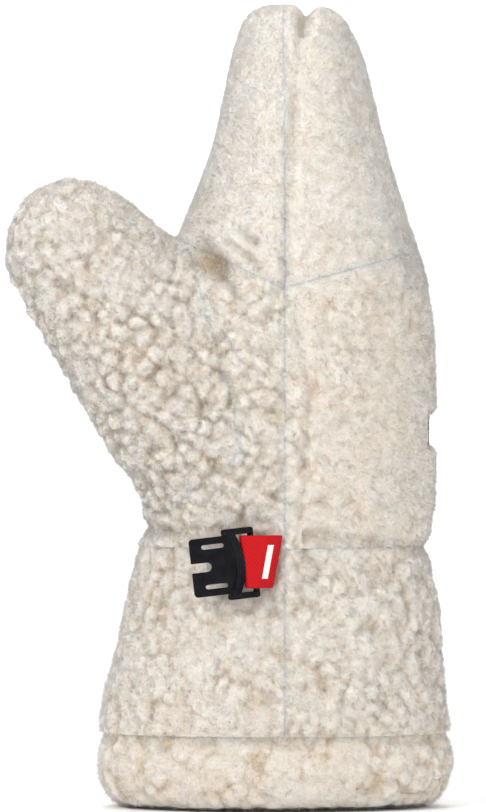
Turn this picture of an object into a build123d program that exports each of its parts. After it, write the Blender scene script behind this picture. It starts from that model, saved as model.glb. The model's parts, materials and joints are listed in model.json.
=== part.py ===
"""Sherpa fleece mitten for the right hand, with a finger cap that flips back over the hand.

The mitten stands on its cuff: +Z runs to the fingertips, -X is the palm side, +X the back of the
hand, and -Y the thumb edge with the webbing loop and the plastic glove hook. The origin is the
middle of the cuff opening, in the plane of the hem.
"""
import os
from itertools import pairwise
from math import cos, radians, sin, sqrt, tan

from build123d import *

os.makedirs("parts", exist_ok=True)

# ---------------------------------------------------------------- driving dimensions, millimetres
# Heights above the hem plane
hem_height = 30.0
wrist_height = 104.0
hinge_height = 222.0
tip_height = 322.0

# Outer surface at each level: palm face X, back face X and half the breadth in Y
hem_palm_x, hem_back_x, hem_half_breadth = -71.0, 71.0, 48.0
cuff_palm_x, cuff_back_x, cuff_half_breadth = -62.0, 67.5, 45.5
wrist_palm_x, wrist_back_x, wrist_half_breadth = -56.0, 61.5, 43.0
hand_palm_x, hand_back_x, hand_half_breadth = -49.0, 64.0, 51.0
finger_palm_x, finger_back_x, finger_half_breadth = -46.5, 63.0, 53.0
knuckle_palm_x, knuckle_back_x, knuckle_half_breadth = -41.0, 56.8, 52.5
tip_centre_x, tip_half_thickness, tip_half_breadth = 8.0, 22.0, 31.0
cuff_rise = 0.5                     # where the cuff's own level lies between hem and wrist
hand_rise, finger_rise = 0.4, 0.75  # and the two levels between wrist and hinge
cap_levels = (0.0, 0.3, 0.58, 0.8, 0.92, 0.985)         # from the hinge to the fingertips
cap_roundness = 12                  # larger is squarer at the fingertips

# Wall
pile_wall = 14.0            # fleece with its pile, hand and cuff
thumb_wall = 12.0           # fleece with its pile, thumb
lining_wall = 3.0
hem_roll = 5.5              # rounding of the turned-up hem
hem_draw_in = 1.2           # the hem's foot is narrower than its top seam
hem_swell = 0.5             # and its middle is wider

# Side seam between the palm and back panels
seam_x = 2.5

# Thumb, a tapered tube leaning out from the palm
thumb_lean = 40.0           # degrees out from the vertical, towards the palm
thumb_offset = 80.0         # from the origin to the thumb's axis, square to that axis
thumb_root, thumb_tip = 124.0, 252.0                    # stations along the axis
thumb_root_half_width, thumb_tip_half_width = 43.0, 27.0
thumb_root_half_depth, thumb_tip_half_depth = 33.0, 21.0
thumb_root_y, thumb_tip_y = -13.0, -24.0
thumb_levels = (0.15, 0.4, 0.65, 0.82, 0.93, 0.985)     # from root to tip
thumb_roundness = 8
thumb_overrun = -0.3        # how far the outer tube starts before the root, inside the palm

# Flip-top opening
hinge_x = 58.8              # fold line at the back of the knuckles
opening_low_z = hinge_height - 16.0                     # lowest point, at the side seam
opening_palm_x, opening_palm_z = -30.0, hinge_height
opening_thumb_x, opening_thumb_z = -62.0, hinge_height + 14.0
cap_gap = 0.6               # between the cap and the hand along the opening
binding_width = 2.5
fold_half_length = 30.0     # half the sewn length across the back
fold_below, fold_above, fold_depth = 16.0, 8.0, 29.0

# Knit collar round the fingers
collar_wall = 2.5
collar_base_z, collar_top_z = hinge_height - 24.0, hinge_height + 14.0
collar_base_gap = 1.0       # to the hand's lining, where it is sewn
collar_gap = 3.0            # to the cap's lining

# Elastic in the wrist
elastic_width, elastic_thickness = 10.0, 1.6

# Patch on the back
patch_height, patch_half_length, patch_thickness = 13.6, 16.0, 1.0
patch_corner = 1.5
patch_z = wrist_height + 46.4

# Webbing loop, sewn into the side seam at the wrist
webbing_width, webbing_thickness = 20.6, 1.2
loop_z = wrist_height - 5.0
loop_y = -wrist_half_breadth - 7.4                      # clear of the fleece
loop_reach = 11.6           # from the seam line to the hook's bar
tail_gap = 0.4              # between the loop and its sewn tail
tail_to_elastic = 0.6
label_width, label_length, label_thickness = 2.6, 13.0, 0.3
label_margin = 0.6          # from the seam line

# Glove hook
hook_tilt = 6.7             # degrees in the plane of the hook
bar_radius = 1.3
bar_gap = 0.35              # all round the bar, inside the webbing
hook_length = 25.8
plate_height, plate_thickness, plate_corner = 23.0, 2.4, 1.6
plate_lap = 1.2             # of the plate under the top of the arch
ear_height, ear_length, ear_corner = 2.5, 12.8, 1.1
ear_gap = 1.1               # above and below the webbing
arch_width, arch_bulge, arch_thickness = 3.6, 3.4, 4.4
throat_width, throat_length = 3.6, 9.8
side_slot_width, side_slot_length = 1.7, 8.8
side_slot_start = 4.8       # from the open end of the hook
side_slot_margin = 3.7      # from the plate's edge to the slot's centre line


# ---------------------------------------------------------------- shared shapes
def oval(z, palm_x, back_x, half_breadth, inset):
    """An ellipse across the mitten, drawn in by inset."""
    with BuildSketch(Plane((palm_x / 2 + back_x / 2, 0, z)), mode=Mode.PRIVATE) as level:
        Ellipse((back_x - palm_x) / 2 - inset, half_breadth - inset)
    return level.sketch


def cuff_ovals(inset):
    """Levels of the cuff from the hem seam up to the wrist."""
    cuff_z = hem_height + cuff_rise * (wrist_height - hem_height)
    yield oval(hem_height, hem_palm_x, hem_back_x, hem_half_breadth, inset)
    yield oval(cuff_z, cuff_palm_x, cuff_back_x, cuff_half_breadth, inset)
    yield oval(wrist_height, wrist_palm_x, wrist_back_x, wrist_half_breadth, inset)


def hand_levels(inset):
    """Height, palm X, back X and half breadth of each level, from wrist to fingertips."""
    rise = hinge_height - wrist_height
    for share, palm_x, back_x, half_breadth in (
            (0.0, wrist_palm_x, wrist_back_x, wrist_half_breadth),
            (hand_rise, hand_palm_x, hand_back_x, hand_half_breadth),
            (finger_rise, finger_palm_x, finger_back_x, finger_half_breadth)):
        yield wrist_height + share * rise, palm_x + inset, back_x - inset, half_breadth - inset
    thickness = (knuckle_back_x - knuckle_palm_x) / 2
    centre = (knuckle_back_x + knuckle_palm_x) / 2
    for share in cap_levels:
        round_off = sqrt(1 - share ** cap_roundness)
        half_x = (thickness - inset + share * (tip_half_thickness - thickness)) * round_off
        half_y = (knuckle_half_breadth - inset
                  + share * (tip_half_breadth - knuckle_half_breadth)) * round_off
        middle = centre + share * (tip_centre_x - centre)
        height = hinge_height + share * (tip_height - inset - hinge_height)
        yield height, middle - half_x, middle + half_x, half_y


def hand_ovals(inset):
    """The hand's and the cap's levels as ellipses."""
    for level in hand_levels(inset):
        yield oval(*level, 0)


def hand_oval_at(z, inset):
    """The ellipse at any height, on the straight run between two levels."""
    for below, above in pairwise(hand_levels(inset)):
        if below[0] <= z <= above[0]:
            share = (z - below[0]) / (above[0] - below[0])
            return oval(*(low + share * (high - low) for low, high in zip(below, above)), 0)


thumb_u = Vector(-sin(radians(thumb_lean)), 0, cos(radians(thumb_lean)))
thumb_v = Vector(cos(radians(thumb_lean)), 0, sin(radians(thumb_lean)))


def thumb_ovals(inset, first_share):
    """Levels square to the thumb's axis, from inside the palm to its rounded end."""
    for share in (first_share, *thumb_levels):
        taper = max(share, 0)
        round_off = sqrt(1 - taper ** thumb_roundness)
        half_width = (thumb_root_half_width - inset
                      + taper * (thumb_tip_half_width - thumb_root_half_width)) * round_off
        half_depth = (thumb_root_half_depth - inset
                      + taper * (thumb_tip_half_depth - thumb_root_half_depth)) * round_off
        along = thumb_root + share * (thumb_tip - inset - thumb_root)
        centre = thumb_u * along + thumb_v * thumb_offset
        centre += Vector(0, thumb_root_y + share * (thumb_tip_y - thumb_root_y), 0)
        with BuildSketch(Plane(centre, x_dir=thumb_v, z_dir=thumb_u), mode=Mode.PRIVATE) as level:
            Ellipse(half_width, half_depth)
        yield level.sketch


def tube(ovals):
    """A solid through the ovals, straight from each to the next."""
    with BuildPart() as solid:
        loft(list(ovals), ruled=True)
    return solid.part


lining_inset = pile_wall + lining_wall
hand_outer = tube(hand_ovals(0))
hand_middle = tube(hand_ovals(pile_wall))
hand_inner = tube(hand_ovals(lining_inset))
cuff_outer = tube(cuff_ovals(0))
cuff_middle = tube(cuff_ovals(pile_wall))
cuff_inner = tube(cuff_ovals(lining_inset))
thumb_outer = tube(thumb_ovals(0, thumb_overrun))
thumb_middle = tube(thumb_ovals(thumb_wall, 0.0))
thumb_inner = tube(thumb_ovals(thumb_wall + lining_wall, 0.0))

# The opening's edge seen along Y: down from the hinge to the side seam, then up to the thumb
far = tip_height            # reaches past the mitten from anywhere in it
opening_edge = [(hinge_x + far, hinge_height), (hinge_x, hinge_height), (seam_x, opening_low_z),
                (opening_palm_x, opening_palm_z), (opening_thumb_x, opening_thumb_z),
                (opening_thumb_x - far, opening_thumb_z)]


def beside_opening(low, high):
    """Everything between two copies of the opening's edge, raised by low and by high."""
    lower = [(x, z + low) for x, z in opening_edge]
    upper = [(x, z + high) for x, z in reversed(opening_edge)]
    with BuildPart() as region:
        with BuildSketch(Plane.XZ):
            with BuildLine():
                Polyline(*lower, *upper, close=True)
            make_face()
        extrude(amount=far, both=True)
    return region.part


def fold_block(depth, clearance):
    """The stretch of the back wall that bends when the cap flips."""
    with BuildPart() as block:
        with BuildSketch(Plane.XY.offset(hinge_height - fold_below - clearance)):
            with Locations((hinge_x, 0)):
                Rectangle(2 * (depth + clearance), 2 * (fold_half_length + clearance))
        extrude(amount=fold_below + fold_above + 2 * clearance)
    return block.part


half_gap = cap_gap / 2
cap_side = beside_opening(half_gap + binding_width, far)
cap_rim = beside_opening(half_gap, half_gap + binding_width)
hand_rim = beside_opening(-half_gap - binding_width, -half_gap)
hand_side = beside_opening(-2 * far, -half_gap - binding_width)
fold = fold_block(fold_depth, 0)
fold_swing = sqrt(fold_depth ** 2 + fold_above ** 2)    # the cap turns round the fold's corner
near_fold = fold_block(fold_swing, cap_gap)

# Sewn tail of the loop and the elastic's tunnel, both let into the fleece
tail_inner_y = -wrist_half_breadth + pile_wall - elastic_thickness - tail_to_elastic
tail_outer_y = loop_y + bar_radius + bar_gap + webbing_thickness + tail_gap
with BuildPart() as loop_tail:
    with BuildSketch(Plane.XY.offset(loop_z - webbing_width / 2)):
        with Locations((seam_x, (tail_inner_y + tail_outer_y) / 2)):
            Rectangle(2 * webbing_thickness, tail_inner_y - tail_outer_y)
    extrude(amount=webbing_width)

with BuildPart() as elastic_blank:
    with BuildSketch(Plane.XY.offset(wrist_height - elastic_width / 2)):
        Ellipse((wrist_back_x - wrist_palm_x) / 2 - pile_wall + elastic_thickness,
                wrist_half_breadth - pile_wall + elastic_thickness)
    extrude(amount=elastic_width)
elastic_centre = (wrist_back_x + wrist_palm_x) / 2
elastic_tunnel = Pos(elastic_centre, 0, 0) * elastic_blank.part


# ---------------------------------------------------------------- cuff
with BuildPart() as hem_band:
    loft([oval(0, hem_palm_x, hem_back_x, hem_half_breadth, hem_draw_in),
          oval(hem_height / 2, hem_palm_x, hem_back_x, hem_half_breadth, -hem_swell),
          oval(hem_height, hem_palm_x, hem_back_x, hem_half_breadth, 0)], ruled=True)
    loft([oval(0, hem_palm_x, hem_back_x, hem_half_breadth, lining_inset),
          oval(hem_height, hem_palm_x, hem_back_x, hem_half_breadth, lining_inset)],
         mode=Mode.SUBTRACT)
    fillet(hem_band.edges().group_by(Axis.Z)[0], radius=hem_roll)

with BuildPart() as cuff_palm_panel:
    add(cuff_outer)
    add(cuff_middle, mode=Mode.SUBTRACT)
    add(elastic_tunnel, mode=Mode.SUBTRACT)
    add(loop_tail.part, mode=Mode.SUBTRACT)
    split(bisect_by=Plane.YZ.offset(seam_x), keep=Keep.BOTTOM)

with BuildPart() as cuff_back_panel:
    add(cuff_outer)
    add(cuff_middle, mode=Mode.SUBTRACT)
    add(elastic_tunnel, mode=Mode.SUBTRACT)
    add(loop_tail.part, mode=Mode.SUBTRACT)
    split(bisect_by=Plane.YZ.offset(seam_x), keep=Keep.TOP)

with BuildPart() as cuff_lining:
    add(cuff_middle)
    add(cuff_inner, mode=Mode.SUBTRACT)

with BuildPart() as wrist_elastic:
    add(elastic_tunnel)
    add(cuff_middle, mode=Mode.SUBTRACT)
    add(hand_middle, mode=Mode.SUBTRACT)

# ---------------------------------------------------------------- hand
with BuildPart() as hand_palm_panel:
    add(hand_outer)
    add(hand_middle, mode=Mode.SUBTRACT)
    add(hand_side, mode=Mode.INTERSECT)
    add(thumb_middle, mode=Mode.SUBTRACT)
    add(elastic_tunnel, mode=Mode.SUBTRACT)
    add(loop_tail.part, mode=Mode.SUBTRACT)
    split(bisect_by=Plane.YZ.offset(seam_x), keep=Keep.BOTTOM)

with BuildPart() as hand_back_panel:
    add(hand_outer)
    add(hand_middle, mode=Mode.SUBTRACT)
    add(hand_side, mode=Mode.INTERSECT)
    add(thumb_middle, mode=Mode.SUBTRACT)
    add(fold, mode=Mode.SUBTRACT)
    add(elastic_tunnel, mode=Mode.SUBTRACT)
    add(loop_tail.part, mode=Mode.SUBTRACT)
    split(bisect_by=Plane.YZ.offset(seam_x), keep=Keep.TOP)

with BuildPart() as hand_lining:
    add(hand_middle)
    add(hand_inner, mode=Mode.SUBTRACT)
    add(hand_side, mode=Mode.INTERSECT)
    add(thumb_inner, mode=Mode.SUBTRACT)
    add(fold, mode=Mode.SUBTRACT)

with BuildPart() as hand_edge_binding:
    add(hand_outer)
    add(hand_inner, mode=Mode.SUBTRACT)
    add(hand_rim, mode=Mode.INTERSECT)
    add(fold, mode=Mode.SUBTRACT)

with BuildPart() as knuckle_collar:
    for wall, mode in ((0.0, Mode.ADD), (collar_wall, Mode.SUBTRACT)):
        loft([hand_oval_at(collar_base_z, lining_inset + collar_base_gap + wall),
              hand_oval_at(collar_top_z, lining_inset + collar_gap + wall)], mode=mode)

with BuildPart() as hinge_fold:
    add(hand_outer)
    add(hand_inner, mode=Mode.SUBTRACT)
    add(fold, mode=Mode.INTERSECT)

with BuildPart() as back_patch:
    add(tube(hand_ovals(-patch_thickness)))
    add(hand_outer, mode=Mode.SUBTRACT)
    with BuildSketch(Plane.YZ.offset(seam_x)):
        with Locations((0, patch_z)):
            RectangleRounded(2 * patch_half_length, patch_height, patch_corner)
    extrude(amount=far, mode=Mode.INTERSECT)

# ---------------------------------------------------------------- thumb
thumb_room = tube(hand_ovals(-cap_gap))
with BuildPart() as beside_cap:
    add(thumb_room)
    add(beside_opening(-2 * half_gap, far), mode=Mode.INTERSECT)

thumb_panels = {}
for side, keep in (("front", Keep.TOP), ("rear", Keep.BOTTOM)):
    with BuildPart() as thumb_panel:
        add(thumb_outer)
        add(thumb_middle, mode=Mode.SUBTRACT)
        add(hand_outer, mode=Mode.SUBTRACT)
        add(cuff_outer, mode=Mode.SUBTRACT)
        add(beside_cap.part, mode=Mode.SUBTRACT)
        split(bisect_by=Plane.XZ.offset(-(thumb_root_y + thumb_tip_y) / 2), keep=keep)
    thumb_panels[side] = thumb_panel

with BuildPart() as thumb_lining:
    add(thumb_middle)
    add(thumb_inner, mode=Mode.SUBTRACT)
    add(hand_middle, mode=Mode.SUBTRACT)

# ---------------------------------------------------------------- flip cap
with BuildPart() as cap_palm_panel:
    add(hand_outer)
    add(hand_middle, mode=Mode.SUBTRACT)
    add(cap_side, mode=Mode.INTERSECT)
    split(bisect_by=Plane.YZ.offset(seam_x), keep=Keep.BOTTOM)

with BuildPart() as cap_back_panel:
    add(hand_outer)
    add(hand_middle, mode=Mode.SUBTRACT)
    add(cap_side, mode=Mode.INTERSECT)
    add(near_fold, mode=Mode.SUBTRACT)
    split(bisect_by=Plane.YZ.offset(seam_x), keep=Keep.TOP)

with BuildPart() as cap_lining:
    add(hand_middle)
    add(hand_inner, mode=Mode.SUBTRACT)
    add(cap_side, mode=Mode.INTERSECT)
    add(near_fold, mode=Mode.SUBTRACT)

with BuildPart() as cap_edge_binding:
    add(hand_outer)
    add(hand_inner, mode=Mode.SUBTRACT)
    add(cap_rim, mode=Mode.INTERSECT)
    add(near_fold, mode=Mode.SUBTRACT)

# ---------------------------------------------------------------- webbing loop
inside_radius = bar_radius + bar_gap
outside_radius = inside_radius + webbing_thickness
bar_x = seam_x - loop_reach


def loop_ends(radius, first_x):
    """The loop's bottom and top edges, the far end of each on the leaning bar."""
    for height in (-webbing_width / 2, webbing_width / 2):
        reach = bar_x - height * tan(radians(hook_tilt))
        with BuildSketch(Plane(((first_x + reach) / 2, loop_y, loop_z + height)),
                         mode=Mode.PRIVATE) as edge:
            SlotCenterToCenter(first_x - reach, 2 * radius)
        yield edge.sketch


with BuildPart() as webbing_loop:
    loft(list(loop_ends(outside_radius, seam_x)), ruled=True)
    loft(list(loop_ends(inside_radius, bar_x + 2 * bar_radius)), ruled=True, mode=Mode.SUBTRACT)

with BuildPart() as loop_label:
    with BuildSketch(Plane.XZ.offset(-(loop_y - outside_radius))):
        with Locations((seam_x - label_width / 2 - label_margin, loop_z)):
            Rectangle(label_width, label_length)
    extrude(amount=label_thickness)

# ---------------------------------------------------------------- glove hook
# Drawn in its own plane: x from the open end to the bar, y up the bar
hook_x = Vector(cos(radians(hook_tilt)), 0, sin(radians(hook_tilt)))
bar_from_end = hook_length - bar_radius
hook_origin = Vector(bar_x, loop_y, loop_z) - hook_x * bar_from_end
hook_plane = Plane(hook_origin, x_dir=hook_x, z_dir=(0, -1, 0))
arch_end = hook_length - 2 * bar_radius - webbing_thickness - 2 * bar_gap
arch_start = arch_end - arch_bulge - arch_width
plate_length = arch_end - arch_width + plate_lap
side_slot_offset = plate_height / 2 - side_slot_margin
ear_centre = webbing_width / 2 + ear_gap + ear_height / 2
with BuildPart() as glove_hook:
    with BuildSketch(hook_plane.offset(-plate_thickness / 2)):
        with Locations((plate_length / 2, 0)):
            RectangleRounded(plate_length, plate_height, plate_corner)
        with Locations((throat_length / 2 - throat_width, 0)):
            SlotOverall(throat_length + throat_width, throat_width, mode=Mode.SUBTRACT)
        with Locations((side_slot_start + side_slot_length / 2, side_slot_offset),
                       (side_slot_start + side_slot_length / 2, -side_slot_offset)):
            SlotOverall(side_slot_length, side_slot_width, mode=Mode.SUBTRACT)
    extrude(amount=plate_thickness)
    with BuildSketch(hook_plane.offset(-arch_thickness / 2)):
        with BuildLine():
            outer_low = (arch_start + arch_width, -ear_centre)
            outer_high = (arch_start + arch_width, ear_centre)
            ThreePointArc(outer_low, (arch_end, 0), outer_high)
            Line(outer_high, (arch_start, ear_centre))
            ThreePointArc((arch_start, ear_centre), (arch_end - arch_width, 0),
                          (arch_start, -ear_centre))
            Line((arch_start, -ear_centre), outer_low)
        make_face()
    extrude(amount=arch_thickness)
    with BuildSketch(hook_plane.offset(-arch_thickness / 2)):
        with Locations((hook_length - ear_length / 2, ear_centre),
                       (hook_length - ear_length / 2, -ear_centre)):
            RectangleRounded(ear_length, ear_height, ear_corner)
    extrude(amount=arch_thickness)
    with BuildSketch(Plane(hook_plane.from_local_coords((bar_from_end, -ear_centre, 0)),
                           x_dir=hook_x, z_dir=hook_plane.y_dir)):
        Circle(bar_radius)
    extrude(amount=2 * ear_centre)

# ---------------------------------------------------------------- hand over the pieces
pieces = {
    "hem_band": hem_band,
    "cuff_palm_panel": cuff_palm_panel,
    "cuff_back_panel": cuff_back_panel,
    "cuff_lining": cuff_lining,
    "wrist_elastic": wrist_elastic,
    "hand_palm_panel": hand_palm_panel,
    "hand_back_panel": hand_back_panel,
    "hand_lining": hand_lining,
    "hand_edge_binding": hand_edge_binding,
    "knuckle_collar": knuckle_collar,
    "hinge_fold": hinge_fold,
    "back_patch": back_patch,
    "thumb_front_panel": thumb_panels["front"],
    "thumb_rear_panel": thumb_panels["rear"],
    "thumb_lining": thumb_lining,
    "cap_palm_panel": cap_palm_panel,
    "cap_back_panel": cap_back_panel,
    "cap_lining": cap_lining,
    "cap_edge_binding": cap_edge_binding,
    "loop_tail": loop_tail,
    "webbing_loop": webbing_loop,
    "loop_label": loop_label,
    "glove_hook": glove_hook,
}
for name, piece in pieces.items():
    piece.part.label = name
    export_step(piece.part, f"parts/{name}.step")

print("cap hinge", hinge_x, 0, hinge_height)
print("loop swing", seam_x, loop_y, loop_z)
print("hook pivot", bar_x, loop_y, loop_z, "axis", tuple(hook_plane.y_dir))
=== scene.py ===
"""Blender scene of the flip-top sherpa mitten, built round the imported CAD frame."""
import json
from contextlib import contextmanager
from math import cos, pi, radians, sin

import bmesh
import bpy
import numpy as np
from mathutils import Matrix, Vector

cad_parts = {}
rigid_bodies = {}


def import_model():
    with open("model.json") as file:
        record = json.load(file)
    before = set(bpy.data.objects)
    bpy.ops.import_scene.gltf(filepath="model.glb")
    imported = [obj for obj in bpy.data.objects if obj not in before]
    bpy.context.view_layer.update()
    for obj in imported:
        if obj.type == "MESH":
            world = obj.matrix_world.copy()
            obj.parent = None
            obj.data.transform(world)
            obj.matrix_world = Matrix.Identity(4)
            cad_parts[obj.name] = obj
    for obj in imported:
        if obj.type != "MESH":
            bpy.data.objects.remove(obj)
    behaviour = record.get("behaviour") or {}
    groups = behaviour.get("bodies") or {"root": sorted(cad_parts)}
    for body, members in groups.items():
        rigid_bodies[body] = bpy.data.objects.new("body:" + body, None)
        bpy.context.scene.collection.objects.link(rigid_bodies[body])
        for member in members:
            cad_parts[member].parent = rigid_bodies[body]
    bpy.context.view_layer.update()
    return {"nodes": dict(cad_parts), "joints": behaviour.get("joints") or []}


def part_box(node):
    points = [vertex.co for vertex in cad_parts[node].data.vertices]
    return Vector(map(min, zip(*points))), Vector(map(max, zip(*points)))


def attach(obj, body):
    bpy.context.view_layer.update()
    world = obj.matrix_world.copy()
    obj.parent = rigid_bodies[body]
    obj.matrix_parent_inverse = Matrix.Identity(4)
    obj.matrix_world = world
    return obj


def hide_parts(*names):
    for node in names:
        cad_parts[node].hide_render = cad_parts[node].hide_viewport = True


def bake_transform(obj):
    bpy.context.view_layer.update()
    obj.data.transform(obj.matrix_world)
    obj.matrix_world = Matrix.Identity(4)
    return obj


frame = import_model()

MM = 0.001

# -------- places taken from the frame, mm
joint = {j["name"]: j for j in frame["joints"]}
HINGE = np.array(joint["cap_flip"]["pos_m"]) / MM
LOOP = np.array(joint["loop_swing"]["pos_m"]) / MM
BAR = np.array(joint["hook_pivot"]["pos_m"]) / MM
BAR_AXIS = np.array(joint["hook_pivot"]["axis"])
HEM_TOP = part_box("hem_band")[1].z / MM
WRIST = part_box("cuff_lining")[1].z / MM
OPENING_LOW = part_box("hand_edge_binding")[0].z / MM + 2.8
SEAM_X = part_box("hand_back_panel")[0].x / MM
FOLD_LOW, FOLD_HIGH = (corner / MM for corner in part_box("hinge_fold"))

# -------- fleece outline, mm
# Height, palm side X, back side X, half the breadth in Y; the pile rises PILE above it
PILE = 1.6
BODY = [
    (5, -69, 67.6, 46), (11, -72.2, 71, 48), (19, -72.8, 72.4, 48.5), (28, -71.8, 70, 47.5),
    (45, -68.4, 68.2, 47), (62, -64, 66.8, 46), (80, -59.8, 65.2, 44.5), (101, -56, 61.4, 43),
    (112, -54, 63.2, 44.5), (134, -50, 63.8, 48), (162, -48, 64, 51.5), (185, -47, 63.4, 53),
    (207, -45, 60.2, 53), (230, -37.8, 53.8, 51), (252, -29.2, 46.8, 47.5), (274, -22.4, 40.4, 43),
    (297, -17.6, 34.6, 35.5), (308, -15, 30.4, 29), (315, -11.5, 26, 22), (319.8, -5, 18, 13),
]
# Station along the thumb, half width across it, half depth in Y, middle in Y
THUMB_LEAN = radians(40)
THUMB_OFFSET = 81.8
THUMB = [
    (92, 42, 32, -11), (124, 43.6, 33, -13), (163, 39, 31, -16), (198, 32.8, 28, -19), (213, 30.2, 26, -20),
    (228, 26.4, 23.5, -21.5), (238.5, 21, 18.5, -22.5), (245.5, 13, 11, -23.5), (248.5, 5, 4, -24),
]
WALL = 12.0                     # from the fleece's outline to its inner face
FOLD_WALL = 15.6                # the fold reaches in to the lining too
THUMB_U = np.array([-sin(THUMB_LEAN), 0, cos(THUMB_LEAN)])
THUMB_V = np.array([cos(THUMB_LEAN), 0, sin(THUMB_LEAN)])
LINING_IN, LINING_WALL = 13.4, 2.2
CAP_ROUNDS, THUMB_ROUNDS = 236.0, 205.0
COARSE = 2.1                    # size of the faces that the pile is cut from
CUTS = 3


def smooth_rows(rows, at):
    """Catmull-Rom values of the rows at the given first-column values."""
    table = np.array(rows, float)
    x, y = table[:, 0], table[:, 1:]
    slope = np.gradient(y, x, axis=0)
    at = np.clip(at, x[0], x[-1])
    i = np.clip(np.searchsorted(x, at) - 1, 0, len(x) - 2)
    h = (x[i + 1] - x[i])[:, None]
    t = ((at - x[i]) / (x[i + 1] - x[i]))[:, None]
    return ((2 * t**3 - 3 * t**2 + 1) * y[i] + (t**3 - 2 * t**2 + t) * h * slope[i]
            + (3 * t**2 - 2 * t**3) * y[i + 1] + (t**3 - t**2) * h * slope[i + 1])


def smoothstep(low, high, value):
    t = np.clip((value - low) / (high - low), 0, 1)
    return t * t * (3 - 2 * t)


# -------- seeded noise
def lattice(cell, salt):
    """Three repeatable random numbers, 0 to 1, for each whole-number cell."""
    c = cell.astype(np.int64)
    h = (c[:, 0] * 73856093) ^ (c[:, 1] * 19349663) ^ (c[:, 2] * 83492791) ^ (salt * 2654435761)
    out = np.empty((len(c), 3))
    for k in range(3):
        h = (h ^ (h >> 15)) * 2246822519 & 0xFFFFFFFF
        h = (h ^ (h >> 13)) * 3266489917 & 0xFFFFFFFF
        h = h ^ (h >> 16)
        out[:, k] = (h & 0xFFFFFF) / float(0xFFFFFF)
    return out


def soft_noise(p, size, salt):
    """Three channels of smooth noise, about -1 to 1, with features of the given size."""
    q = p / size
    base = np.floor(q)
    t = q - base
    t = t * t * (3 - 2 * t)
    total = np.zeros((len(p), 3))
    for dx in (0, 1):
        for dy in (0, 1):
            for dz in (0, 1):
                weight = (np.where(dx, t[:, 0], 1 - t[:, 0]) * np.where(dy, t[:, 1], 1 - t[:, 1])
                          * np.where(dz, t[:, 2], 1 - t[:, 2]))
                total += weight[:, None] * lattice(base + (dx, dy, dz), salt)
    return total * 2 - 1


ROUNDING = 14.0                 # higher leaves sharper valleys between tufts


def tufts(p, size, salt):
    """Cellular pattern with cells of size 1: the distance to the nearest tuft, the same distance
    rounded off between tufts, the gap to the second nearest and the tuft's random numbers."""
    q = p / size
    base = np.floor(q)
    first = np.full(len(p), 9.0)
    second = np.full(len(p), 9.0)
    random = np.zeros((len(p), 3))
    total = np.zeros(len(p))
    for dx in (-1, 0, 1):
        for dy in (-1, 0, 1):
            for dz in (-1, 0, 1):
                cell = base + (dx, dy, dz)
                r = lattice(cell, salt)
                d = q - (cell + 0.15 + 0.7 * r)
                dist = np.sqrt((d * d).sum(1))
                nearer = dist < first
                second = np.where(nearer, first, np.minimum(second, dist))
                first = np.where(nearer, dist, first)
                random[nearer] = r[nearer]
                total += np.exp(-ROUNDING * dist)
    return first, -np.log(total) / ROUNDING, second - first, random


# -------- the fleece's smooth outline
def body_radii(z):
    row = smooth_rows(BODY, z)
    middle = (row[:, 0] + row[:, 1]) / 2
    return middle, (row[:, 1] - row[:, 0]) / 2 - PILE, row[:, 2] - PILE


def body_depth(p):
    """Signed distance, roughly, out of the hand's outline."""
    middle, a, b = body_radii(p[:, 2])
    ratio = np.sqrt(((p[:, 0] - middle) / a) ** 2 + (p[:, 1] / b) ** 2)
    return (ratio - 1) * np.minimum(a, b)


def thumb_depth(p):
    """Signed distance, roughly, out of the thumb's outline."""
    u = p @ THUMB_U
    row = smooth_rows(THUMB, u)
    v = p @ THUMB_V - THUMB_OFFSET
    ratio = np.sqrt((v / (row[:, 0] - PILE)) ** 2 + ((p[:, 1] - row[:, 2]) / (row[:, 1] - PILE)) ** 2)
    beyond = np.maximum(u - THUMB[-1][0], 0)
    return (ratio - 1) * np.minimum(row[:, 0], row[:, 1]) + beyond


def tube_mesh(rings):
    """A closed tube through rings of equally many points."""
    count = len(rings[0])
    verts = np.concatenate(rings + [rings[0].mean(0)[None], rings[-1].mean(0)[None]])
    first, last = len(verts) - 2, len(verts) - 1
    faces = []
    for i in range(len(rings) - 1):
        for k in range(count):
            n = (k + 1) % count
            faces.append((i * count + k, i * count + n, (i + 1) * count + n, (i + 1) * count + k))
    top = (len(rings) - 1) * count
    for k in range(count):
        n = (k + 1) % count
        faces.append((first, n, k))
        faces.append((last, top + k, top + n))
    return verts, faces


SQUARENESS = 2.15               # of the hand's section, where 2 is an ellipse


def superellipse(angle, half_x, half_y, squareness=SQUARENESS):
    c, s = np.cos(angle), np.sin(angle)
    power = 2 / squareness
    return np.sign(c) * np.abs(c) ** power * half_x, np.sign(s) * np.abs(s) ** power * half_y


def ellipse_ring(centre, across, half_across, half_depth, squareness=SQUARENESS):
    x, y = superellipse(np.linspace(0, 2 * pi, 120, endpoint=False), half_across, half_depth, squareness)
    return centre + x[:, None] * across + y[:, None] * np.array([0, 1.0, 0])


def linked(name, data):
    obj = bpy.data.objects.new(name, data)
    bpy.context.scene.collection.objects.link(obj)
    return obj


def new_object(name, verts, faces):
    mesh = bpy.data.meshes.new(name)
    mesh.from_pydata([tuple(v) for v in np.asarray(verts) * MM], [], [tuple(f) for f in faces])
    return linked(name, mesh)


@contextmanager
def editing(obj):
    """The object's mesh as a bmesh, written back at the end."""
    bm = bmesh.new()
    bm.from_mesh(obj.data)
    yield bm
    bm.to_mesh(obj.data)
    bm.free()


def applied(obj):
    """The object with its modifiers made real."""
    graph = bpy.context.evaluated_depsgraph_get()
    mesh = bpy.data.meshes.new_from_object(obj.evaluated_get(graph))
    old = obj.data
    obj.modifiers.clear()
    obj.data = mesh
    bpy.data.meshes.remove(old)
    return obj


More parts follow.
